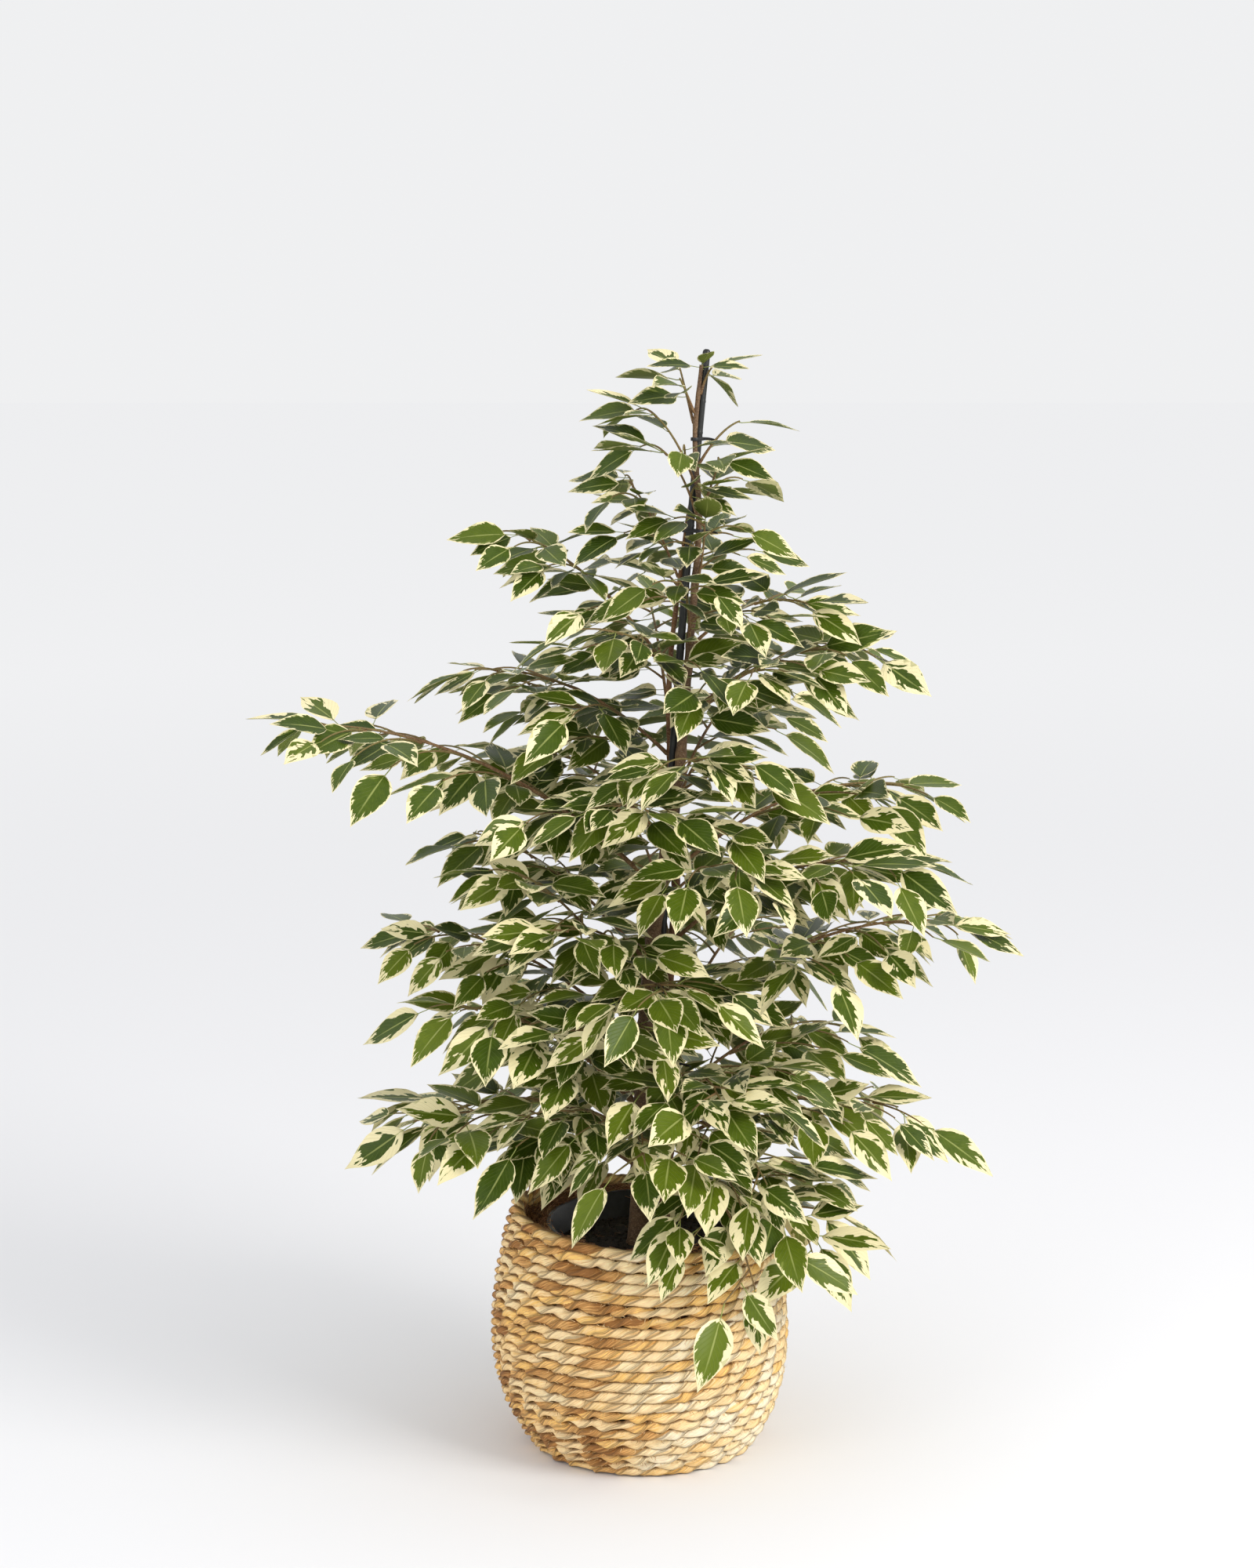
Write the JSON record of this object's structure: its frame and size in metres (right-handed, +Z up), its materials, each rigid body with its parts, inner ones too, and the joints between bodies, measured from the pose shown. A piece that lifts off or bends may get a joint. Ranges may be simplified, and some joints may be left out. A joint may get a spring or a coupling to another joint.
{
  "type": "potted weeping fig",
  "caption": "A leafy variegated weeping fig trained up a stake, in a nursery pot that stands in a round coiled-rope basket.",
  "frame": {"origin": "middle of the basket's flat underside, on the floor", "axes": "+Z up along the plant, +X to the right as seen from the front, the front faces -Y"},
  "size_m": [0.7382, 0.5063, 1.1003],
  "materials": {
    "straw_rope": "rough, twisted straw",
    "black_plastic": "satin",
    "potting_soil": "crumbly, matt",
    "coir_fibre": "loose fibre, matt",
    "stem_bark": "smooth bark with small pores",
    "young_bark": "smooth reddish bark",
    "stake_black": "satin",
    "tie_black": "satin",
    "leaf_green": "glossy leaf"
  },
  "bodies": {
    "root": {"basket": "straw_rope", "nursery_pot": "black_plastic", "soil": "potting_soil", "coir_packing": "coir_fibre", "stem_main": "stem_bark", "stem_second": "young_bark", "stake": "stake_black", "tie_1": "tie_black", "tie_2": "tie_black", "tie_3": "tie_black", "tie_4": "tie_black", "spray_left_1_low_front": "leaf_green", "spray_left_1_low_back": "leaf_green", "spray_left_2_front": "leaf_green", "spray_left_2_long": "leaf_green", "spray_left_3_front": "leaf_green", "spray_left_3_level": "leaf_green", "spray_left_4_longest": "leaf_green", "spray_left_5_back": "leaf_green", "spray_left_6_level": "leaf_green", "spray_left_7_upper": "leaf_green", "spray_right_1_low": "leaf_green", "spray_right_1_back": "leaf_green", "spray_right_2_back": "leaf_green", "spray_right_3_long": "leaf_green", "spray_right_4_front": "leaf_green", "spray_right_5_level": "leaf_green", "spray_right_6_upper": "leaf_green", "spray_right_7_top": "leaf_green", "spray_front_1_hanging": "leaf_green", "spray_front_1_left": "leaf_green", "spray_front_1_right": "leaf_green", "spray_front_2_low": "leaf_green", "spray_front_2_right": "leaf_green", "spray_front_2_left": "leaf_green", "spray_front_3_middle": "leaf_green", "spray_front_3_left": "leaf_green", "spray_front_4_right": "leaf_green", "spray_front_4_left": "leaf_green", "spray_front_5_right": "leaf_green", "spray_front_6_right": "leaf_green", "spray_front_6_left": "leaf_green", "spray_front_7_middle": "leaf_green", "spray_back_1_low": "leaf_green", "spray_back_1_left": "leaf_green", "spray_back_2_right": "leaf_green", "spray_back_3_middle": "leaf_green", "spray_back_4_left": "leaf_green", "spray_back_5_right": "leaf_green", "spray_back_6_middle": "leaf_green", "spray_back_7_middle": "leaf_green", "spray_top_1_left": "leaf_green", "spray_top_1_front": "leaf_green", "spray_top_2_left": "leaf_green", "spray_top_2_right": "leaf_green", "spray_top_3_left": "leaf_green", "spray_top_3_right": "leaf_green", "spray_top_4_back": "leaf_green", "spray_top_5_left": "leaf_green", "spray_top_5_tip": "leaf_green"}
  },
  "joints": []
}
